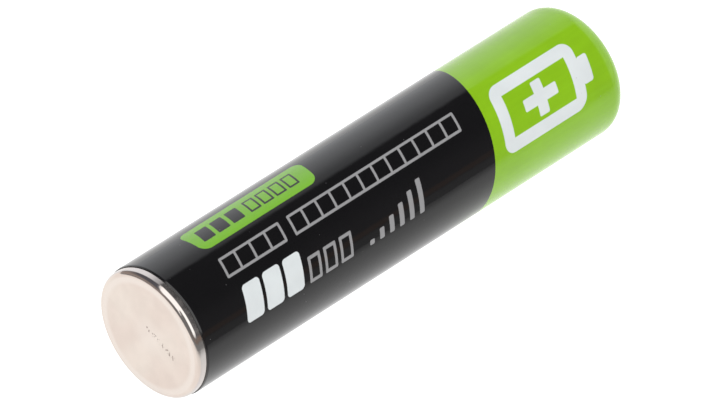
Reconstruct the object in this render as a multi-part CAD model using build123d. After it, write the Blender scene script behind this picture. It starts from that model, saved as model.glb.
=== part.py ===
from build123d import *
import os

# Rechargeable cylindrical cell, 10.3 mm in diameter. Millimetres.
# The axis is +X. The flat negative end is at x = 0, and the positive button is at the far end.

# Room left between neighbours that are pressed together without overlapping
gap = 0.01

# Outside
length = 44.4
outer_radius = 5.15
sleeve_wall = 0.1
sleeve_start = 0.77
sleeve_top = 43.3
shoulder_radius = 1.58
sleeve_lip_radius = 3.0

# Can
can_wall = 0.2
can_corner = 0.35
mouth_radius = 3.4
bead_centre = 39.9
bead_width = 1.4
bead_flat = 0.3
bead_depth = 0.5
bead_mouth_rounding = 0.15
bead_crest_rounding = 0.3

# Positive end
washer_thickness = 0.15
washer_outer_radius = 3.55
washer_inner_radius = 2.05
button_radius = 1.9
button_edge_rounding = 0.4
button_foot_rounding = 0.15
flange_radius = 2.9
cap_wall = 0.2
vent_hole_count = 3
vent_hole_radius = 0.25
vent_hole_x = 43.66
lid_thickness = 0.4
lid_radius = 3.9
lid_edge_chamfer = 0.08
seat_hole_radius = 0.5
gasket_lip = 0.45
gasket_collar_radius = 3.15
gasket_shelf = 0.5
gasket_heel = 0.1
gasket_foot_shares = (0.35, 0.85)
plug_radius = 1.4
plug_edge_rounding = 0.15

# Wound roll
positive_thickness = 0.72
core_thickness = 0.06
coat_thickness = 0.13
separator_thickness = 0.11
roll_clearance = 0.02
negative_half_turns = 6
positive_half_turns = 4
positive_span = (1.2, 38.0)
negative_span = (0.8, 38.4)
separator_span = (0.4, 38.9)

# Tab and insulating discs
tab_thickness = 0.1
tab_width = 2.2
tab_bend_radius = 0.35
tab_shelf = 40.9
tab_fold = -2.7
tab_end = -0.9
tab_depth_share = 0.4
tape_thickness = 0.06
tape_span = (38.1, 40.1)
disc_radius = 4.6
disc_thickness = 0.15
disc_hole_radius = 1.0
top_disc_start = 38.95
slot_width = 0.5
slot_length = 2.7

# Sizes that follow from the ones above
can_radius = outer_radius - sleeve_wall
bore_radius = can_radius - can_wall
can_top = sleeve_top - sleeve_wall - washer_thickness
crimp_inside = can_top - can_wall
crimp_rounding = shoulder_radius - sleeve_wall - washer_thickness - can_wall
crest_radius = bore_radius - bead_depth
lid_top = crimp_inside - gasket_lip
lid_bottom = lid_top - lid_thickness
flange_top = lid_top + cap_wall
negative_thickness = core_thickness + 2 * coat_thickness
pitch = positive_thickness + negative_thickness + 2 * separator_thickness + 4 * gap
centre_offset = pitch / 4
last_radius = bore_radius - roll_clearance - centre_offset - negative_thickness
roll_start = last_radius - (negative_half_turns - 1) * pitch / 2
separator_inner_start = negative_thickness + gap
positive_start = separator_inner_start + separator_thickness + gap
separator_outer_start = positive_start + positive_thickness + gap


def turned(section):
    """The solid that a section of (x, radius) sweeps round the cell's axis."""
    return revolve(section, Axis.X, 360)


def sheet_section(line, thickness, side):
    """The section of a sheet of even thickness, on one side of a line."""
    return make_face(offset(line, thickness, side=side, closed=True).edges())


def disc(start, thickness, radius, hole_radius=0):
    """A flat disc across the axis, with a hole in the middle if it has one."""
    section = make_face(
        Polyline(
            (start, hole_radius),
            (start, radius),
            (start + thickness, radius),
            (start + thickness, hole_radius),
            close=True,
        )
    )
    return turned(section)


def bead_flank(share):
    """A point of the inner flank of the bead that faces the positive end, from its crest outwards."""
    half_flat = bead_flat / 2
    half_width = bead_width / 2
    x = bead_centre + half_flat + share * (half_width - half_flat)
    return x, crest_radius + share * bead_depth


def can():
    """Drawn can: closed end, bead rolled in below the lid, and rim crimped inwards over the gasket."""
    inner_line = FilletPolyline(
        (can_wall, 0),
        (can_wall, bore_radius),
        (bead_centre - bead_width / 2, bore_radius),
        (bead_centre - bead_flat / 2, crest_radius),
        (bead_centre + bead_flat / 2, crest_radius),
        (bead_centre + bead_width / 2, bore_radius),
        (crimp_inside, bore_radius),
        (crimp_inside, mouth_radius),
        radius=[
            can_corner - can_wall,
            bead_mouth_rounding,
            bead_crest_rounding,
            bead_crest_rounding,
            bead_mouth_rounding,
            crimp_rounding,
        ],
    )
    return turned(sheet_section(inner_line, can_wall, Side.LEFT))


def shrink_sleeve():
    """Heat-shrink sleeve: straight tube that bridges the bead and turns in over the rim."""
    outer_line = FilletPolyline(
        (sleeve_start, outer_radius),
        (sleeve_top, outer_radius),
        (sleeve_top, sleeve_lip_radius),
        radius=[shoulder_radius],
    )
    return turned(sheet_section(outer_line, sleeve_wall, Side.RIGHT))


def top_washer():
    """Insulating ring between the crimped rim and the lip of the sleeve."""
    return disc(can_top, washer_thickness, washer_outer_radius, washer_inner_radius)


def positive_cap():
    """Button pressed from sheet, with a welding flange and vent holes through its side."""
    outer_line = FilletPolyline(
        (length, 0),
        (length, button_radius),
        (flange_top, button_radius),
        (flange_top, flange_radius),
        radius=[button_edge_rounding, button_foot_rounding],
    )
    button = turned(sheet_section(outer_line, cap_wall, Side.LEFT))
    hole = Pos(vent_hole_x, 0, button_radius) * Cylinder(vent_hole_radius, 4 * cap_wall)
    for index in range(vent_hole_count):
        button -= hole.rotate(Axis.X, index * 360 / vent_hole_count)
    return button


def vent_plug():
    """Rubber plug squeezed between the lid plate and the top of the button."""
    plug = disc(lid_top, length - cap_wall - lid_top, plug_radius)
    return fillet(plug.edges().filter_by(GeomType.CIRCLE), plug_edge_rounding)


def lid_plate():
    """Sealing plate with the vent hole, which the plug closes."""
    plate = disc(lid_bottom, lid_thickness, lid_radius, seat_hole_radius)
    rims = [edge for edge in plate.edges().filter_by(GeomType.CIRCLE) if edge.radius > seat_hole_radius]
    return chamfer(rims, lid_edge_chamfer)


def gasket():
    """Nylon ring that wraps the lid plate's rim, stands on the bead and lines the crimped mouth."""
    foot_inner, foot_outer = [bead_flank(share) for share in gasket_foot_shares]
    outline = Polyline(
        (foot_inner[0] + gap, foot_inner[1]),
        (foot_outer[0] + gap, foot_outer[1]),
        (foot_outer[0] + gasket_heel, bore_radius),
        (crimp_inside, bore_radius),
        (crimp_inside, mouth_radius - gap),
        (can_top - gap, mouth_radius - gap),
        (can_top - gap, gasket_collar_radius),
        (lid_top, gasket_collar_radius),
        (lid_top, lid_radius),
        (lid_bottom, lid_radius),
        (lid_bottom, gasket_collar_radius),
        (lid_bottom - gasket_shelf, gasket_collar_radius),
        (lid_bottom - gasket_shelf, foot_inner[1]),
        close=True,
    )
    section = make_face(outline)
    crimp_corner = section.vertices().sort_by_distance((crimp_inside, bore_radius))[0]
    return turned(fillet(crimp_corner, crimp_rounding))


def spiral_arcs(half_turns, distance, closing_wrap):
    """Half circles about two centres in turn, which wind outwards by one pitch a turn.

    The upper half turns have one centre and the lower ones the other, so the arcs join smoothly.
    The closing wrap is one more half turn, about the cell's own axis, along the can.
    """
    arcs = []
    for index in range(half_turns):
        side = 1 if index % 2 else -1
        radius = roll_start + index * pitch / 2 + distance
        start_angle = 180 if index % 2 else 0
        arcs.append(CenterArc((side * centre_offset, 0), radius, start_angle, 180))
    if closing_wrap:
        arcs.append(CenterArc((0, 0), radius + centre_offset, 0, 180))
    return arcs


def wound_strip(span, distance, thickness, half_turns, closing_wrap=False):
    """A strip of the roll: distance is measured outwards from the inner side of the negative strip."""
    inner = spiral_arcs(half_turns, distance, closing_wrap)
    outer = spiral_arcs(half_turns, distance + thickness, closing_wrap)
    first_end = Line(inner[0] @ 0, outer[0] @ 0)
    last_end = Line(inner[-1] @ 1, outer[-1] @ 1)
    section = make_face([*inner, *outer, first_end, last_end])
    return extrude(Plane.YZ.offset(span[0]) * section, span[1] - span[0])


def tab_height():
    """Distance of the tab's middle plane from the axis: inside the positive strip's third half turn."""
    strip_inner = roll_start + pitch + positive_start
    return strip_inner + tab_depth_share * positive_thickness


def positive_tab():
    """Nickel strip that stands on the positive strip's edge and folds back under the lid plate."""
    outer_face = tab_height() + tab_thickness / 2
    path = FilletPolyline(
        (positive_span[1], outer_face),
        (tab_shelf, outer_face),
        (tab_shelf, tab_fold),
        (lid_bottom - tab_thickness, tab_fold),
        (lid_bottom - tab_thickness, tab_end),
        radius=[tab_bend_radius, tab_bend_radius, tab_bend_radius],
    )
    section = Plane.XZ.offset(centre_offset) * sheet_section(path, tab_thickness, Side.RIGHT)
    return extrude(section, tab_width / 2, both=True)


def block(x_span, y, z, width, height):
    """A box between two places on the axis, centred on (y, z)."""
    middle = (x_span[0] + x_span[1]) / 2
    return Pos(middle, y, z) * Box(x_span[1] - x_span[0], width, height)


def tab_tape():
    """Insulating tape round the tab where it passes the separators and the top disc."""
    outer_width = tab_width + 2 * tape_thickness
    outer_height = tab_thickness + 2 * tape_thickness
    tape = block(tape_span, -centre_offset, tab_height(), outer_width, outer_height)
    return tape - block(tape_span, -centre_offset, tab_height(), tab_width, tab_thickness)


def top_insulator():
    """Disc above the roll, with a slot for the tab."""
    plain_disc = disc(top_disc_start, disc_thickness, disc_radius, disc_hole_radius)
    slot_span = (top_disc_start - disc_thickness, top_disc_start + 2 * disc_thickness)
    return plain_disc - block(slot_span, -centre_offset, tab_height(), slot_length, slot_width)


def bottom_insulator():
    """Disc between the roll and the closed end of the can."""
    return disc(can_wall, disc_thickness, disc_radius, disc_hole_radius)


def negative_layer(distance, thickness):
    """One layer of the negative strip, which ends in a wrap along the can."""
    return wound_strip(negative_span, distance, thickness, negative_half_turns, closing_wrap=True)


def separator(distance, half_turns):
    """One wound separator."""
    return wound_strip(separator_span, distance, separator_thickness, half_turns)


parts = {
    "can": can(),
    "shrink_sleeve": shrink_sleeve(),
    "top_washer": top_washer(),
    "positive_cap": positive_cap(),
    "vent_plug": vent_plug(),
    "lid_plate": lid_plate(),
    "gasket": gasket(),
    "positive_electrode": wound_strip(
        positive_span, positive_start, positive_thickness, positive_half_turns
    ),
    "negative_coat_inner": negative_layer(0, coat_thickness),
    "negative_core": negative_layer(coat_thickness, core_thickness),
    "negative_coat_outer": negative_layer(coat_thickness + core_thickness, coat_thickness),
    "separator_inner": separator(separator_inner_start, positive_half_turns + 1),
    "separator_outer": separator(separator_outer_start, positive_half_turns),
    "positive_tab": positive_tab(),
    "tab_tape": tab_tape(),
    "top_insulator": top_insulator(),
    "bottom_insulator": bottom_insulator(),
}

os.makedirs("parts", exist_ok=True)
for name, part in parts.items():
    export_step(part, f"parts/{name}.step")
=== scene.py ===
import math
import random
from itertools import chain

import bpy
from mathutils import Matrix, Vector, noise


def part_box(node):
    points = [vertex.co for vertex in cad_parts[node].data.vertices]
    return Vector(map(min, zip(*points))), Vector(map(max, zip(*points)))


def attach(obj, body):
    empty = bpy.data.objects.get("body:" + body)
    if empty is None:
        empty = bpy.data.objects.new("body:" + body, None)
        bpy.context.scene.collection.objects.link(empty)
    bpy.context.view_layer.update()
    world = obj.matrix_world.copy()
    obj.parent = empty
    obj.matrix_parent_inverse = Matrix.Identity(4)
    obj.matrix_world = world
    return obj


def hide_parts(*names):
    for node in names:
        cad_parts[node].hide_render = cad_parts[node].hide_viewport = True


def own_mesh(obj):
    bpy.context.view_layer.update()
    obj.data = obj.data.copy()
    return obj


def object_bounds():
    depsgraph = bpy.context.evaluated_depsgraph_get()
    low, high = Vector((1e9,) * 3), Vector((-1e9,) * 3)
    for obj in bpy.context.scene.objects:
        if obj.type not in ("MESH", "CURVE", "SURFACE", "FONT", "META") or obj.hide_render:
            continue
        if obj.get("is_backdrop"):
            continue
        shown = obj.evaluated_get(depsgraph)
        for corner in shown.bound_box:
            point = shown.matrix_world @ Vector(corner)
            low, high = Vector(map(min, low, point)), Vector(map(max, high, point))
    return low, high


# Looks of a cylindrical cell that lies along +X, with its flat negative end at x = 0.
# Metres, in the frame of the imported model. An angle round the cell is 0 at +Z and grows towards -Y.

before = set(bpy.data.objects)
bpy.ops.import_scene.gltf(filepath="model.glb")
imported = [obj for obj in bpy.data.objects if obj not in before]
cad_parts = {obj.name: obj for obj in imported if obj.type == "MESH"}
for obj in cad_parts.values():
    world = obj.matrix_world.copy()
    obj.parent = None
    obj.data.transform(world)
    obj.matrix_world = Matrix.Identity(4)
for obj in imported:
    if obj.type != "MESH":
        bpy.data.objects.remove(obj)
cad_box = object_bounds()

MM = 0.001

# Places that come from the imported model
sleeve_low, sleeve_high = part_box("shrink_sleeve")
can_low, can_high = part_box("can")
washer_low, washer_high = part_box("top_washer")
cap_low, cap_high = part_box("positive_cap")
plug_low, plug_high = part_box("vent_plug")
outer_radius = sleeve_high.z
can_radius = -can_low.z
length = cap_high.x

# Thicknesses and roundings of the pressed and shrunk parts
sleeve_wall = 0.085 * MM
sleeve_inset = 0.012 * MM  # keeps the uneven film inside the plain sleeve's outer radius
shoulder_radius = 1.58 * MM
sleeve_lip_radius = 3.0 * MM
can_wall = 0.2 * MM
can_corner = 0.4 * MM
end_dish = 0.02 * MM
can_mouth_radius = 3.4 * MM
bead_centre = 39.9 * MM
bead_half_width = 0.7 * MM
bead_half_flat = 0.15 * MM
bead_depth = 0.5 * MM
washer_hole_radius = 2.05 * MM
button_radius = 1.9 * MM
button_wall = 0.2 * MM
button_rounding = 0.4 * MM
flange_fillet = 0.15 * MM
vent_hole_x = 43.66 * MM
vent_hole_radius = 0.25 * MM
vent_hole_count = 3
plug_rounding = 0.15 * MM
plug_waist = 0.05  # how much narrower the squeezed plug is at its ends than in its middle

# Mesh density
washer_segments = 224
fine_step = 0.28 * MM
arc_steps = 9
axis_tolerance = 1e-7
crease_angle = math.radians(40)


# ---------------------------------------------------------------- geometry

def smooth(low, high, value):
    """0 below low, 1 above high, and an even S between them."""
    share = min(1.0, max(0.0, (value - low) / (high - low)))
    return share * share * (3 - 2 * share)


def uneven(along, scale, angle):
    """Noise that runs round the cell and closes on itself."""
    return noise.noise(Vector((along, scale * math.sin(angle), scale * math.cos(angle))))


def rounded_line(corners, closed, step):
    """Points of a line through corners of (x, radius, rounding), with its runs cut into steps."""
    count = len(corners)
    line = []
    for index, (x, radius, rounding) in enumerate(corners):
        corner = Vector((x, radius))
        is_end = not closed and index in (0, count - 1)
        if is_end or rounding == 0:
            line.append(corner)
            continue
        back = (Vector(corners[index - 1][:2]) - corner).normalized()
        ahead = (Vector(corners[(index + 1) % count][:2]) - corner).normalized()
        half = back.angle(ahead) / 2
        centre = corner + (back + ahead).normalized() * rounding / math.sin(half)
        first = corner + back * rounding / math.tan(half) - centre
        last = corner + ahead * rounding / math.tan(half) - centre
        start = math.atan2(first.y, first.x)
        turn = math.remainder(math.atan2(last.y, last.x) - start, 2 * math.pi)
        for part in range(arc_steps + 1):
            angle = start + turn * part / arc_steps
            line.append(centre + Vector((math.cos(angle), math.sin(angle))) * rounding)
    points = []
    pairs = zip(line, line[1:] + line[:1]) if closed else zip(line, line[1:])
    for start, end in pairs:
        parts = max(1, math.ceil((end - start).length / step))
        points += [start.lerp(end, part / parts) for part in range(parts)]
    return points if closed else points + [line[-1]]


def lathe(name, corners, step, segments, closed=True, shift=None):
    """A solid swept round the cell's axis from an outline of (x, radius, rounding) corners.

    A closed outline makes a ring, and an open one starts and ends on the axis.
    shift(x, radius, angle) gives the point that the plain one at (x, radius) moves to.
    """
    outline = rounded_line(corners, closed, step)
    vertices, rings = [], []
    for x, radius in outline:
        on_axis = radius < axis_tolerance
        ring = []
        for index in range(1 if on_axis else segments):
            angle = 2 * math.pi * index / segments
            new_x, new_radius = shift(x, radius, angle) if shift else (x, radius)
            ring.append(len(vertices))
            vertices.append((new_x, -new_radius * math.sin(angle), new_radius * math.cos(angle)))
        rings.append(ring * segments if on_axis else ring)
    faces = []
    pairs = zip(rings, rings[1:] + rings[:1]) if closed else zip(rings, rings[1:])
    for ring, following in pairs:
        for index in range(segments):
            after = (index + 1) % segments
            loop = (ring[index], following[index], following[after], ring[after])
            faces.append(tuple(dict.fromkeys(loop)))
    mesh = bpy.data.meshes.new(name)
    mesh.from_pydata(vertices, [], faces)
    mesh.validate()
    mesh.shade_smooth()
    mesh.set_sharp_from_angle(angle=crease_angle)
    made = bpy.data.objects.new(name, mesh)
    bpy.context.scene.collection.objects.link(made)
    return made


def coat(piece, material):
    """Gives a piece this material and no other."""
    piece.data.materials.clear()
    piece.data.materials.append(material)


def show(piece, material, replaced, body="cell"):
    """Gives a piece its material and slot, and lets it ride a body in place of a CAD node."""
    coat(piece, material)
    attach(piece, body)
    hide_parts(replaced)
    return piece


# ---------------------------------------------------------------- shader nodes

class Field:
    """A value that a shader works out at every point, for use in ordinary arithmetic."""

    def __init__(self, tree, output):
        self.tree = tree
        self.output = output

    def do(self, operation, *others):
        return math_node(self.tree, operation, self, *others)

    def __add__(self, other):
        return self.do("ADD", other)

    def __sub__(self, other):
        return self.do("SUBTRACT", other)

    def __mul__(self, other):
        return self.do("MULTIPLY", other)

    def __rsub__(self, other):
        return math_node(self.tree, "SUBTRACT", other, self)

    def __neg__(self):
        return self * -1.0

    def __abs__(self):
        return self.do("ABSOLUTE")

    def least(self, other):
        return self.do("MINIMUM", other)

    def most(self, other):
        return self.do("MAXIMUM", other)


def connect(tree, value, socket):
    """Links a field to a socket, or sets the socket to a plain value."""
    if isinstance(value, Field):
        tree.links.new(value.output, socket)
    else:
        socket.default_value = value


def node(tree, kind, inputs, output=0, **settings):
    """Adds a shader node with these inputs and settings, and gives the field of one output."""
    made = tree.nodes.new("ShaderNode" + kind)
    for name, value in settings.items():
        setattr(made, name, value)
    for key, value in inputs.items():
        connect(tree, value, made.inputs[key])
    return Field(tree, made.outputs[output])


def end_node(tree, kind, shader):
    made = tree.nodes.new("ShaderNode" + kind)
    tree.links.new(shader.output, made.inputs["Surface"])


def math_node(tree, operation, *values):
    return node(tree, "Math", dict(enumerate(values)), operation=operation)


def vector_length(vector):
    return node(vector.tree, "VectorMath", {0: vector}, output=1, operation="LENGTH")


def ramp(value, low, high, from_value=0.0, to_value=1.0):
    """A smooth change from one value to another as a field goes from low to high."""
    limits = {"From Min": low, "From Max": high, "To Min": from_value, "To Max": to_value}
    return node(value.tree, "MapRange", {"Value": value, **limits}, interpolation_type="SMOOTHSTEP")


def mix(share, first, second):
    """The colour at a share of the way from the first to the second."""
    inputs = {0: share, 6: first, 7: second}
    return node(share.tree, "Mix", inputs, output=2, data_type="RGBA")


def rgb(red, green, blue):
    return red, green, blue, 1.0


def tinted(colour, factor):
    """A plain colour or a colour field made lighter or darker by a field."""
    base = colour if isinstance(colour, Field) else colour[:3]
    return node(factor.tree, "VectorMath", {0: base, "Scale": factor}, operation="SCALE")


def grain(point, scale, detail=2.0, roughness=0.5):
    """Soft noise between 0 and 1."""
    inputs = {"Vector": point, "Scale": scale, "Detail": detail, "Roughness": roughness}
    return node(point.tree, "TexNoise", inputs)


def stretch(point, x, y, z):
    return node(point.tree, "VectorMath", {0: point, 1: (x, y, z)}, operation="MULTIPLY")


def joined(x, y, z=0.0):
    tree = next(value.tree for value in (x, y, z) if isinstance(value, Field))
    return node(tree, "CombineXYZ", {"X": x, "Y": y, "Z": z})


def parts_of(vector):
    """The three components of a vector field."""
    made = vector.tree.nodes.new("ShaderNodeSeparateXYZ")
    connect(vector.tree, vector, made.inputs[0])
    return [Field(vector.tree, output) for output in made.outputs]


def specks(point, pitch, size, share, flat=False):
    """1 inside small dots scattered at random, and 0 outside. A share of the cells has a dot."""
    tree = point.tree
    cells = tree.nodes.new("ShaderNodeTexVoronoi")
    cells.voronoi_dimensions = "2D" if flat else "3D"
    connect(tree, point, cells.inputs["Vector"])
    connect(tree, 1 / pitch, cells.inputs["Scale"])
    distance = Field(tree, cells.outputs["Distance"]) * pitch
    chance = parts_of(Field(tree, cells.outputs["Color"]))[0]
    reach = ramp(chance, 1 - share, 1.0, 0.0, size)
    soft_edge = 0.25 * size
    inside = ramp(distance - reach, -soft_edge, soft_edge, 1.0, 0.0)
    return inside * ramp(chance, 1 - share, 1 - 0.9 * share)


def surface(name, build):
    """A material whose Principled inputs come from build(point), with the point in millimetres.

    A Height among them, in millimetres too, becomes a bump.
    """
    material = bpy.data.materials.new(name)
    material.use_nodes = True
    tree = material.node_tree
    tree.nodes.clear()
    place = node(tree, "TexCoord", {}, output="Object")
    inputs = build(stretch(place, 1 / MM, 1 / MM, 1 / MM))
    height = inputs.pop("Height", None)
    if height is not None:
        inputs["Normal"] = node(tree, "Bump", {"Height": height, "Distance": MM, "Strength": 1.0})
    end_node(tree, "OutputMaterial", node(tree, "BsdfPrincipled", inputs))
    return material


# ---------------------------------------------------------------- print on the sleeve

# The print is drawn on the unrolled film, in millimetres: x along the cell, s round it from its
# top. A straight plane is (x, s), and a leaning one is (u, s), where u = x + slant * s.
slant = 0.213
print_middle = math.radians(40.8)
unrolled_radius = outer_radius / MM
green_start = 31.11
edge_softness = 0.03

# Rows of marks, as the s of their top and bottom edges
badge_rows = (-2.35, 0.58)
badge_mark_rows = (-1.65, -0.15)
gauge_rows = (1.66, 3.26)
block_rows = (4.18, 6.9)
small_box_rows = (4.98, 6.85)
pictogram_rows = (1.66, 6.76)
pole_sign_rows = (-8.7, -5.5)
rising_bottom, rising_first_top, rising_step = 6.87, 6.5, 0.42

# Widths of lines
thin_line = 0.17
gauge_line = 0.2
small_box_line = 0.24
pictogram_line = 1.0

black_ink = rgb(0.0052, 0.0050, 0.0056)
green_ink = rgb(0.27, 0.55, 0.013)
badge_ink = rgb(0.19, 0.495, 0.0145)
white_ink = rgb(0.785, 0.835, 0.85)
grey_ink = rgb(0.34, 0.34, 0.35)


def box_distance(plane, left, right, top, bottom, rounding):
    """Distance from a rounded box on a plane of two fields, below 0 inside it."""
    along, across = plane
    past_ends = abs(along - (left + right) / 2) - ((right - left) / 2 - rounding)
    past_sides = abs(across - (top + bottom) / 2) - ((bottom - top) / 2 - rounding)
    end_gap, side_gap = past_ends.most(0.0), past_sides.most(0.0)
    outside = end_gap.do("MULTIPLY_ADD", end_gap, side_gap * side_gap).do("SQRT")
    return outside + past_ends.most(past_sides).least(0.0) - rounding


def stroke(distance, width):
    """Distance from a line of this width that runs just inside a shape's edge."""
    return abs(distance + width / 2) - width / 2


def nearest(distances):
    """The distance from the nearest of several shapes.

    The distances come from generators, so that each shape's nodes are made just before they are
    used. Cycles turns a material black when it has to hold too many values at once.
    """
    closest = None
    for distance in distances:
        closest = distance if closest is None else closest.least(distance)
    return closest


def inked(distance):
    """1 inside a shape and 0 outside, with a slightly soft edge."""
    return ramp(distance, -edge_softness, edge_softness, 1.0, 0.0)


def row_of_boxes(plane, count, left, pitch, width, top, bottom, rounding):
    """Distances from equal boxes in a row."""
    for index in range(count):
        start = left + index * pitch
        yield box_distance(plane, start, start + width, top, bottom, rounding)


def gauge(leaning, left, right, cells):
    """Distance from a thin outlined bar that dividers cut into cells."""
    outer = box_distance(leaning, left, right, *gauge_rows, 0.12)
    along = leaning[0] - left
    pitch = (right - left) / cells
    to_divider = along.do("PINGPONG", pitch / 2)
    return stroke(outer, gauge_line).least((to_divider - gauge_line / 2).most(outer))


def badge(straight, leaning):
    """Distance from the badge, and from the dark marks on it.

    The badge is where a box with a square left end and one with a leaning right end overlap.
    """
    left_part = box_distance(straight, 5.0, 30.0, *badge_rows, 0.75)
    right_part = box_distance(leaning, -9.0, 16.4, *badge_rows, 0.75)
    bold = row_of_boxes(leaning, 3, 5.72, 1.45, 1.12, *badge_mark_rows, 0.1)
    outlined = row_of_boxes(leaning, 4, 10.35, 1.26, 1.0, *badge_mark_rows, 0.08)
    thin = (stroke(box, thin_line) for box in outlined)
    return left_part.most(right_part), nearest(chain(bold, thin))


def pictogram(leaning):
    """Distances from a battery drawn with a thick line, its nub and the plus inside it."""
    yield stroke(box_distance(leaning, 32.25, 40.55, *pictogram_rows, 0.95), pictogram_line)
    yield box_distance(leaning, 40.5, 41.45, 3.2, 5.2, 0.2)
    yield box_distance(leaning, 34.75, 38.05, 3.78, 4.64, 0.12)
    yield box_distance(leaning, 35.92, 36.88, 2.95, 5.47, 0.12)


def front_marks(leaning):
    """Distances from the white and from the grey marks of the front."""
    blocks = row_of_boxes(leaning, 3, 6.36, 1.98, 1.66, *block_rows, 0.3)
    white = nearest(chain(blocks, pictogram(leaning)))
    gauges = (gauge(leaning, *extent) for extent in ((5.6, 11.5, 4), (12.3, 28.9, 12)))
    small = row_of_boxes(leaning, 3, 12.55, 1.55, 1.2, *small_box_rows, 0.1)
    outlined = (stroke(box, small_box_line) for box in small)
    tops = (rising_first_top - rising_step * step for step in range(6))
    rising = (
        box_distance(leaning, 18.5 + step, 18.95 + step, top, rising_bottom, 0.1)
        for step, top in enumerate(tops)
    )
    return white, nearest(chain(gauges, outlined, rising))


def small_print(straight, seed, rows, first_top, left_margin, right_margin):
    """Distances from a block of small print, which is only rows of short bars."""
    row_pitch, bar_height, gap = 0.95, 0.36, 0.5
    shortest, longest = 1.2, 4.2
    draw = random.Random(seed)
    for row in range(rows):
        top = first_top + row_pitch * row
        left = left_margin
        row_end = right_margin - draw.uniform(0.0, 4.0)
        while left < row_end - shortest:
            width = min(draw.uniform(shortest, longest), row_end - left)
            yield box_distance(straight, left, left + width, top, top + bar_height, 0.1)
            left += width + gap


def back_marks(straight):
    """Distances from the white pole signs and from the grey small print of the back."""
    plus_along = box_distance(straight, 35.2, 38.4, -7.5, -6.7, 0.12)
    plus_across = box_distance(straight, 36.4, 37.2, *pole_sign_rows, 0.12)
    minus = box_distance(straight, 2.6, 3.4, *pole_sign_rows, 0.12)
    lower_block = small_print(straight, 11, 4, 11.3, 6.0, 26.0)
    back_block = small_print(straight, 5, 5, -9.6, 6.6, 25.0)
    return nearest((plus_along, plus_across, minus)), nearest(chain(lower_block, back_block))


def printed_film(point):
    """Glossy shrink film: black, then green, with pale marks and a green badge."""
    x, y, z = parts_of(point)
    sine, cosine = math.sin(print_middle), math.cos(print_middle)
    turn = math_node(point.tree, "ARCTAN2", -(y * cosine + z * sine), z * cosine - y * sine)
    s = (turn + print_middle) * unrolled_radius
    u = x + s * slant
    straight, leaning = (x, s), (u, s)

    badge_edge, badge_marks = badge(straight, leaning)
    on_badge = inked(badge_edge) * (1 - inked(badge_marks))
    green = inked(green_start - u)
    white_edge, grey_edge = front_marks(leaning)
    back_white_edge, back_grey_edge = back_marks(straight)
    white = inked(white_edge.least(back_white_edge))
    grey = inked(grey_edge.least(back_grey_edge))

    tone = ramp(grain(point, 0.35), 0.3, 0.7, 0.965, 1.035)
    streaks = ramp(grain(stretch(point, 0.15, 3.0, 3.0), 1.0), 0.3, 0.7, 0.985, 1.015)
    colour = mix(green, tinted(black_ink, tone), tinted(green_ink, tone * streaks))
    colour = mix(on_badge, colour, tinted(badge_ink, streaks))
    colour = mix(grey, colour, tinted(grey_ink, streaks))
    colour = mix(white, colour, tinted(white_ink, tone))
    dust = specks(joined(x, s), 1.5, 0.04, 0.25, flat=True) * ramp(grain(point, 0.5), 0.42, 0.6)
    colour = mix(dust * 0.4, colour, rgb(0.3, 0.3, 0.31))
    facing_back = -parts_of(node(point.tree, "TexCoord", {}, output="Normal"))[0]
    cut_end = ramp(facing_back, 0.3, 0.8) * ramp(x, 1.0, 2.0, 1.0, 0.0)
    colour = mix(cut_end, colour, rgb(0.05, 0.05, 0.052))

    smudges = ramp(grain(point, 0.6, detail=4.0), 0.35, 0.7)
    peel = grain(point, 1.3, detail=1.0) * 0.004 + grain(point, 4.0, detail=1.0) * 0.0008
    return {
        "Base Color": colour,
        "Roughness": smudges * 0.05 + dust * 0.3 + 0.055,
        "IOR": 1.5,
        "Height": peel,
    }


# ---------------------------------------------------------------- other materials

def plated_steel(point):
    """Nickel plating: warm and bright, with cloudy patches and a very fine grain."""
    clouds = ramp(grain(point, 0.8, detail=4.0), 0.3, 0.7, 0.975, 1.02)
    patches = ramp(grain(point, 0.3, detail=1.0), 0.35, 0.65)
    nickel = mix(patches, rgb(0.54, 0.498, 0.479), rgb(0.56, 0.531, 0.511))
    pits = specks(point, 0.35, 0.02, 0.2)
    fine = grain(point, 9.0, detail=3.0)
    return {
        "Base Color": tinted(nickel, clouds - pits * 0.12),
        "Metallic": 1.0,
        "Roughness": ramp(grain(point, 2.2, detail=3.0), 0.3, 0.7, 0.1, 0.14) + pits * 0.1,
        "Height": fine * 0.0006,
    }


def can_steel(point):
    """Plated steel with draw marks on its wall.

    Its flat end is painted lighter near its edge and in the middle, partly as rub wear and partly as
    painted reflection, and has a row of ink dots.
    """
    inputs = plated_steel(point)
    x, y, z = parts_of(point)
    radius = vector_length(joined(y, z))
    on_wall = ramp(radius, 4.85, 5.0)
    marks = ramp(grain(stretch(point, 0.25, 5.0, 5.0), 1.0, detail=4.0), 0.35, 0.7)
    inputs["Roughness"] = inputs["Roughness"] + on_wall * marks * 0.03
    inputs["Height"] = inputs["Height"] + on_wall * marks * 0.001
    # Painted reflection, partly rub wear: a lighter ring near the flat end's edge and a lighter
    # middle, mixed into the base colour.
    ring = ramp(radius, 4.0, 4.4) * ramp(radius, 4.55, 4.8, 1.0, 0.0)
    middle = ramp(radius, 0.4, 2.0, 0.55, 0.0)
    rubbed = (ring + middle) * ramp(x, 1.0, 1.5, 1.0, 0.0)
    inputs["Base Color"] = mix(rubbed * 0.8, inputs["Base Color"], rgb(0.591, 0.574, 0.565))
    lean, row_y, row_z = math.radians(27), -1.2, 0.02
    along = (y - row_y) * math.cos(lean) + (z - row_z) * math.sin(lean)
    across = (z - row_z) * math.cos(lean) - (y - row_y) * math.sin(lean)
    window = inked(box_distance((along, across), -1.75, 1.6, -0.2, 0.2, 0.1))
    dots = specks(joined(y, z), 0.17, 0.075, 0.85, flat=True) * window * inked(x - 0.1)
    inputs["Base Color"] = mix(dots * 0.85, inputs["Base Color"], rgb(0.16, 0.13, 0.12))
    return inputs


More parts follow.
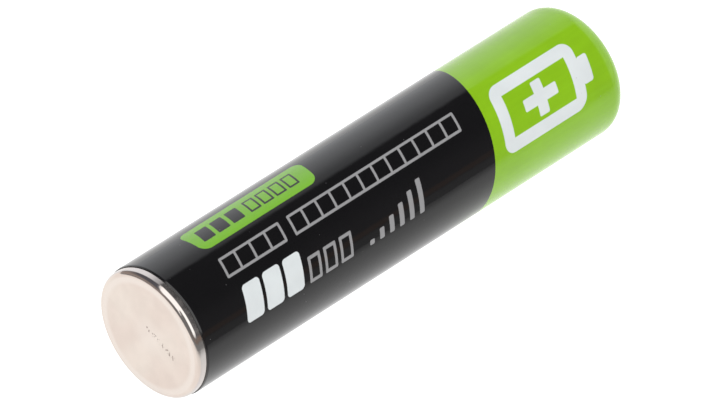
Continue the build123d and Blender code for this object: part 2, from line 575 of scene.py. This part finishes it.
def button_steel(point):
    """Plated steel with fine rings from pressing and a few rubbed scratches on the contact face."""
    inputs = plated_steel(point)
    x, y, z = parts_of(point)
    radius = vector_length(joined(y, z))
    rings = math_node(point.tree, "SINE", radius * 60.0) * 0.00015
    rubbed = ramp(grain(stretch(point, 1.0, 14.0, 0.7), 1.0), 0.62, 0.66)
    contact = ramp(x, 44.3, 44.38) * ramp(radius, 1.3, 1.6, 1.0, 0.0)
    inputs["Roughness"] = inputs["Roughness"] + rubbed * contact * 0.12
    inputs["Height"] = inputs["Height"] + rings - rubbed * contact * 0.0008
    return inputs


def fibre_board(point):
    """Pressed white paper fibre."""
    threads = grain(stretch(point, 1.0, 9.0, 2.0), 2.0, detail=3.0)
    crossing = grain(stretch(point, 1.0, 2.0, 9.0), 2.0, detail=3.0)
    felt = threads.most(crossing)
    return {
        "Base Color": mix(ramp(felt, 0.45, 0.75), rgb(0.70, 0.69, 0.65), rgb(0.86, 0.86, 0.83)),
        "Roughness": 0.85,
        "Height": felt * 0.012,
    }


def rubber(point):
    """Moulded black rubber with a matt, slightly dusty skin."""
    skin = grain(point, 12.0, detail=4.0)
    dusty = ramp(grain(point, 1.6), 0.4, 0.8)
    return {
        "Base Color": mix(dusty, rgb(0.018, 0.018, 0.019), rgb(0.04, 0.04, 0.042)),
        "Roughness": ramp(skin, 0.3, 0.7, 0.55, 0.75),
        "Height": skin * 0.004,
    }


def nylon(point):
    """Natural nylon: milky, a little translucent, with soft flow marks."""
    flow = grain(stretch(point, 0.5, 1.5, 1.5), 1.0, detail=3.0)
    return {
        "Base Color": mix(ramp(flow, 0.3, 0.7), rgb(0.62, 0.63, 0.58), rgb(0.74, 0.75, 0.70)),
        "Roughness": 0.42,
        "Subsurface Weight": 0.15,
        "Subsurface Scale": 0.3 * MM,
        "Height": flow * 0.004,
    }


def paste(dark, light):
    """Pressed powder in a nickel foam or on a strip: coarse grains with bright metal glints."""
    def build(point):
        powder = grain(point, 7.0, detail=5.0, roughness=0.7)
        glints = specks(point, 0.22, 0.03, 0.3)
        grey = mix(ramp(powder, 0.3, 0.7), dark, light)
        return {
            "Base Color": mix(glints * 0.5, grey, rgb(0.5, 0.49, 0.46)),
            "Metallic": glints * 0.8,
            "Roughness": 0.9 - glints * 0.5,
            "Height": powder * 0.02,
        }
    return build


def cloth(point):
    """Thin non-woven separator: matted white fibres."""
    lengthwise = grain(stretch(point, 1.2, 12.0, 12.0), 1.0, detail=3.0)
    crosswise = grain(stretch(point, 12.0, 2.0, 2.0), 1.0, detail=3.0)
    mat = lengthwise.most(crosswise)
    return {
        "Base Color": mix(ramp(mat, 0.4, 0.75), rgb(0.66, 0.66, 0.62), rgb(0.88, 0.88, 0.85)),
        "Roughness": 0.9,
        "Height": mat * 0.02,
    }


def rolled_strip(point):
    """Rolled nickel strip with lines along its length."""
    lines = grain(stretch(point, 0.8, 22.0, 0.8), 1.0, detail=3.0)
    return {
        "Base Color": tinted(rgb(0.66, 0.63, 0.58), ramp(lines, 0.3, 0.7, 0.92, 1.05)),
        "Metallic": 1.0,
        "Roughness": ramp(lines, 0.3, 0.7, 0.24, 0.34),
        "Height": lines * 0.001,
    }


def film_tape(point):
    """Amber polyimide tape with faint wrinkles."""
    wrinkles = grain(stretch(point, 3.0, 0.8, 0.8), 1.0, detail=2.0)
    return {
        "Base Color": mix(ramp(wrinkles, 0.3, 0.7), rgb(0.52, 0.29, 0.05), rgb(0.66, 0.4, 0.08)),
        "Roughness": 0.22,
        "Coat Weight": 0.3,
        "Height": wrinkles * 0.01,
    }


def sheet_plastic(point):
    """Punched polypropylene sheet, with a fine calendered texture."""
    texture = grain(point, 8.0, detail=2.0)
    milky = ramp(grain(point, 0.9), 0.3, 0.7)
    return {
        "Base Color": mix(milky, rgb(0.70, 0.70, 0.66), rgb(0.80, 0.80, 0.77)),
        "Roughness": ramp(texture, 0.3, 0.7, 0.45, 0.6),
        "Height": texture * 0.003,
    }


# ---------------------------------------------------------------- pieces

def make_sleeve():
    """The printed film: straight over the can, drawn in over the rim, with a gathered lip."""
    plain_radius = outer_radius - sleeve_inset
    inner_radius = plain_radius - sleeve_wall
    edge = 0.03 * MM
    cut_thickness, taper = 0.05 * MM, 0.15 * MM
    corners = [
        (sleeve_low.x, can_radius + cut_thickness, edge),
        (sleeve_low.x + taper, plain_radius, 0.1 * MM),
        (sleeve_high.x, plain_radius, shoulder_radius),
        (sleeve_high.x, sleeve_lip_radius, edge),
        (sleeve_high.x - sleeve_wall, sleeve_lip_radius, edge),
        (sleeve_high.x - sleeve_wall, inner_radius, shoulder_radius - sleeve_wall),
        (sleeve_low.x, inner_radius, 0.02 * MM),
    ]
    seam_angle = math.radians(220.8)
    ripple_length, ripple_height = 3.2 * MM, 0.006 * MM
    seam_height, cut_waviness = 0.008 * MM, 0.05 * MM
    fold_depth, lip_waviness = 0.035 * MM, 0.12 * MM

    def shrink(x, radius, angle):
        ripple = uneven(x / ripple_length, 1.6, angle) * ripple_height
        past_seam = (angle - seam_angle) % (2 * math.pi)
        overlap = smooth(0.0, 0.012, past_seam) * (1 - smooth(0.3, 0.5, past_seam)) * seam_height
        cut = uneven(7.0, 2.2, angle) * cut_waviness
        near_cut = 1 - smooth(0.0, 1.2 * MM, x - sleeve_low.x)
        gathered = 1 - smooth(sleeve_lip_radius, plain_radius - 0.6 * MM, radius)
        folds = uneven(3.0, 5.5, angle)
        drawn_in = gathered ** 1.5 * (0.5 + folds) * fold_depth
        new_x = x + cut * near_cut - drawn_in
        swell = (ripple + overlap) * (1 - gathered)
        new_radius = radius + swell + folds * gathered ** 2 * lip_waviness
        return new_x, new_radius

    return lathe("printed_sleeve", corners, step=fine_step, segments=320, shift=shrink)


def make_can():
    """Drawn can with a faintly dished end, rolled bead and crimped mouth."""
    crest = can_radius - bead_depth
    bore = can_radius - can_wall
    bead_low, bead_high = bead_centre - bead_half_width, bead_centre + bead_half_width
    flat_low, flat_high = bead_centre - bead_half_flat, bead_centre + bead_half_flat
    crimp = shoulder_radius - 0.25 * MM
    dish_floor, dish_rim, dish_rounding = 3.5 * MM, 4.1 * MM, 4 * MM
    lip_rounding = 0.06 * MM
    corners = [
        (end_dish, 0, 0),
        (end_dish, dish_floor, dish_rounding),
        (0, dish_rim, dish_rounding),
        (0, can_radius, can_corner),
        (bead_low, can_radius, 0.3 * MM),
        (flat_low, crest, 0.12 * MM),
        (flat_high, crest, 0.12 * MM),
        (bead_high, can_radius, 0.3 * MM),
        (can_high.x, can_radius, crimp),
        (can_high.x, can_mouth_radius, lip_rounding),
        (can_high.x - can_wall, can_mouth_radius, lip_rounding),
        (can_high.x - can_wall, bore, crimp - can_wall),
        (bead_high, bore, 0.15 * MM),
        (flat_high, crest - can_wall, 0.3 * MM),
        (flat_low, crest - can_wall, 0.3 * MM),
        (bead_low, bore, 0.15 * MM),
        (can_wall, bore, can_corner - can_wall),
        (can_wall, 0, 0),
    ]
    return lathe("steel_can", corners, closed=False, step=1.2 * MM, segments=288)


def make_washer():
    """Fibre ring between the rim and the lip, slightly frayed at its edges."""
    edge, fraying = 0.03 * MM, 0.012 * MM
    outer = washer_high.z
    corners = [
        (washer_low.x, outer, edge),
        (washer_low.x, washer_hole_radius, edge),
        (washer_high.x, washer_hole_radius, edge),
        (washer_high.x, outer, edge),
    ]

    def fray(x, radius, angle):
        return x, radius + uneven(radius / MM * 1.3, 9, angle) * fraying

    return lathe("fibre_washer", corners, step=fine_step, segments=washer_segments, shift=fray)


def cut_holes(piece, cutters):
    """Takes the cutters out of a piece and removes them."""
    for cutter in cutters:
        step = piece.modifiers.new("hole", "BOOLEAN")
        step.operation = "DIFFERENCE"
        step.solver = "EXACT"
        step.object = cutter
    bpy.context.view_layer.update()
    seen = piece.evaluated_get(bpy.context.evaluated_depsgraph_get())
    piece.data = bpy.data.meshes.new_from_object(seen)
    piece.modifiers.clear()
    piece.data.set_sharp_from_angle(angle=math.radians(30))
    for cutter in cutters:
        bpy.data.objects.remove(cutter)


def make_button():
    """Pressed positive button with a welding flange and vent holes."""
    flange_top = cap_low.x + button_wall
    inner_radius = button_radius - button_wall
    corners = [
        (length, 0, 0),
        (length, button_radius, button_rounding),
        (flange_top, button_radius, flange_fillet),
        (flange_top, cap_high.z, 0.05 * MM),
        (cap_low.x, cap_high.z, 0.03 * MM),
        (cap_low.x, inner_radius, 0.3 * MM),
        (length - button_wall, inner_radius, button_rounding - button_wall),
        (length - button_wall, 0, 0),
    ]
    button = lathe("positive_button", corners, closed=False, step=0.5 * MM, segments=192)
    cutters = []
    for index in range(vent_hole_count):
        angle = 2 * math.pi * index / vent_hole_count
        bpy.ops.mesh.primitive_cylinder_add(
            vertices=40, radius=vent_hole_radius, depth=4 * button_wall
        )
        cutter = bpy.context.object
        to_side = Matrix.Translation((vent_hole_x, 0, button_radius))
        cutter.matrix_world = Matrix.Rotation(angle, 4, "X") @ to_side
        cutters.append(cutter)
    cut_holes(button, cutters)
    return button


def make_plug():
    """Rubber plug, squeezed a little barrel-shaped between the plate and the button."""
    radius = plug_high.z
    corners = [
        (plug_low.x, 0, 0),
        (plug_low.x, radius, plug_rounding),
        (plug_high.x, radius, plug_rounding),
        (plug_high.x, 0, 0),
    ]
    middle = (plug_low.x + plug_high.x) / 2

    def squeeze(x, plain_radius, angle):
        away = (x - middle) / (plug_high.x - middle)
        return x, plain_radius * (1 - plug_waist * away * away)

    return lathe(
        "rubber_vent_plug", corners, closed=False, step=0.15 * MM, segments=128, shift=squeeze
    )


steel = surface("nickel_plated_steel", plated_steel)
disc_plastic = surface("punched_disc", sheet_plastic)
positive_paste = paste(rgb(0.03, 0.045, 0.03), rgb(0.09, 0.12, 0.085))
negative_paste = paste(rgb(0.03, 0.03, 0.033), rgb(0.085, 0.085, 0.09))
negative_powder = surface("negative_paste", negative_paste)
separator_mat = surface("separator_cloth", cloth)

show(make_sleeve(), surface("printed_film", printed_film), "shrink_sleeve")
show(make_can(), surface("can_steel", can_steel), "can")
show(make_washer(), surface("white_fibre", fibre_board), "top_washer")
show(make_button(), surface("button_steel", button_steel), "positive_cap")

plug = show(make_plug(), surface("black_rubber", rubber), "vent_plug", "vent_seal")
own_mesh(plug)

inner_finishes = {
    "lid_plate": steel,
    "gasket": surface("nylon", nylon),
    "positive_electrode": surface("positive_paste", positive_paste),
    "negative_core": steel,
    "negative_coat_inner": negative_powder,
    "negative_coat_outer": negative_powder,
    "separator_inner": separator_mat,
    "separator_outer": separator_mat,
    "positive_tab": surface("nickel_strip", rolled_strip),
    "tab_tape": surface("insulating_tape", film_tape),
    "top_insulator": disc_plastic,
    "bottom_insulator": disc_plastic,
}
for name, material in inner_finishes.items():
    coat(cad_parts[name], material)


# ---------------------------------------------------------------- studio

backdrop_white = rgb(1.2, 1.2, 1.2)
sweep_light = rgb(1.28, 1.3, 1.34)
arch_light = rgb(1.9, 1.88, 1.85)
ground_light = rgb(0.3, 0.3, 0.3)


def seen_directly(tree):
    """1 where the camera sees a thing itself, and 0 in reflections and for light."""
    return node(tree, "LightPath", {}, output="Is Camera Ray")


def bounce_strength(tree):
    """Full strength in reflections, and less for the light that falls on matt surfaces."""
    held_back = 0.3
    return 1.0 - node(tree, "LightPath", {}, output="Is Diffuse Ray") * held_back


def make_floor():
    """A white table that ends just in front of the cell and runs on behind it.

    In reflections it is warm beside the flat end, neutral elsewhere, and darker towards its front.
    """
    front, left, far = -28 * MM, -30 * MM, 600 * MM
    gap_below = 0.02 * MM
    ground = can_low.z - sleeve_wall - gap_below
    corners = [(left, front, ground), (far, front, ground), (far, far, ground), (left, far, ground)]
    mesh = bpy.data.meshes.new("floor")
    mesh.from_pydata(corners, [], [(0, 1, 2, 3)])
    floor = bpy.data.objects.new("floor", mesh)
    bpy.context.scene.collection.objects.link(floor)
    floor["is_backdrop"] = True
    material = bpy.data.materials.new("white_table")
    material.use_nodes = True
    tree = material.node_tree
    tree.nodes.clear()
    x, y, _ = parts_of(node(tree, "TexCoord", {}, output="Object"))
    warm = ramp(x, -1.0 * MM, 1.0 * MM, 1.0, 0.0)
    bright = ramp(y, -26 * MM, -14 * MM, 0.3, 0.8) + ramp(y, -14 * MM, -5 * MM, 0.0, 0.22)
    tint = mix(warm, rgb(1.0, 1.0, 1.0), rgb(1.19, 1.09, 1.0))
    paper = {"Base Color": rgb(0.3, 0.3, 0.3), "Roughness": 1.0, "Specular IOR Level": 0.0}
    in_reflections = tinted(tint, bright * bounce_strength(tree))
    glow_colour = mix(seen_directly(tree), in_reflections, backdrop_white)
    glow = {"Emission Color": glow_colour, "Emission Strength": 1.0}
    end_node(tree, "OutputMaterial", node(tree, "BsdfPrincipled", {**paper, **glow}))
    mesh.materials.append(material)


def make_world():
    """Studio round the cell, by direction.

    A bright sweep stands behind it and to its right, and a bright arch over its flat end. The
    front and the left side are dark, with a brown strip on the front's horizon. Camera rays see
    plain white.
    """
    world = bpy.data.worlds.new("studio")
    bpy.context.scene.world = world
    world.use_nodes = True
    tree = world.node_tree
    tree.nodes.clear()
    direction = node(tree, "TexCoord", {}, output="Generated")
    x, y, z = parts_of(direction)
    behind = ramp(y, 0.26, 0.36) * ramp(x, 0.1, 0.3) * ramp(y, 0.34, 0.74, 0.48, 1.0)
    right_side = ramp(x, 0.62, 0.8) * ramp(y, -0.5, 0.1, 0.75, 1.0)
    arch_edge = ramp(y, -0.55, -0.3, -0.42, -0.92)
    arch = ramp(x - arch_edge, 0.0, 0.08) * ramp(x, 0.32, 0.46, 1.0, 0.0)
    arch = arch * ramp(z, 0.16, 0.24) * ramp(y, 0.2, 0.3, 1.0, 0.0)
    brown = ramp(abs(z - 0.04), 0.04, 0.08, 1.0, 0.0) * ramp(y, -0.6, -0.3, 1.0, 0.0)
    ground = ramp(z, -0.06, -0.02, 1.0, 0.0)
    low_front = ramp(z, 0.2, 0.7, 1.0, 0.0)
    colour = mix(low_front, rgb(0.07, 0.07, 0.075), rgb(0.15, 0.145, 0.15))
    left_side = mix(ramp(z, 0.1, 0.6), rgb(0.48, 0.40, 0.36), rgb(0.14, 0.14, 0.16))
    left_side = mix(ramp(y, 0.0, 0.3, 1.0, 0.0), left_side, rgb(0.26, 0.255, 0.25))
    colour = mix(ramp(x, -0.1, 0.3, 1.0, 0.0), colour, left_side)
    colour = mix(brown, colour, rgb(0.30, 0.22, 0.18))
    colour = mix(ground, colour, ground_light)
    colour = mix(arch, colour, arch_light)
    colour = mix(right_side.most(behind), colour, sweep_light)
    colour = mix(seen_directly(tree), colour, backdrop_white)
    background = node(tree, "Background", {"Color": colour, "Strength": bounce_strength(tree)})
    end_node(tree, "OutputWorld", background)


def make_key_light():
    """One wide soft light from the camera's side and above, which isn't seen in reflections."""
    strength, width = 0.85, math.radians(70)
    light = bpy.data.lights.new("key", "SUN")
    light.energy = strength
    light.angle = width
    key = bpy.data.objects.new("key", light)
    bpy.context.scene.collection.objects.link(key)
    towards = Vector((-0.35, -0.6, 0.72))
    key.rotation_mode = "QUATERNION"
    key.rotation_quaternion = towards.to_track_quat("Z", "Y")
    key.visible_glossy = False
    key.visible_camera = False


def make_camera():
    """A long lens that looks down on the cell from its flat end."""
    azimuth, elevation = math.radians(-44.96), math.radians(39.36)
    focal_length, sensor_width = 602, 36
    distance, moved_left, moved_down = 857 * MM, 0.419 * MM, 0.359 * MM
    back = Vector((
        math.sin(azimuth) * math.cos(elevation),
        -math.cos(azimuth) * math.cos(elevation),
        math.sin(elevation),
    ))
    right = Vector((math.cos(azimuth), math.sin(azimuth), 0))
    up = back.cross(right)
    data = bpy.data.cameras.new("camera")
    data.lens = focal_length
    data.sensor_width = sensor_width
    data.clip_start, data.clip_end = 0.01, 10
    camera = bpy.data.objects.new("camera", data)
    bpy.context.scene.collection.objects.link(camera)
    target = Vector((21.58 * MM, 0, 0))
    camera.location = target + back * distance - right * moved_left - up * moved_down
    camera.rotation_mode = "QUATERNION"
    camera.rotation_quaternion = Matrix((right, up, back)).transposed().to_quaternion()
    bpy.context.scene.camera = camera


make_floor()
make_world()
make_key_light()
make_camera()
bpy.context.scene.view_settings.view_transform = "Standard"

boxes = {"cad": cad_box, "visual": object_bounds()}
{name: [list(corner) for corner in box] for name, box in boxes.items()}
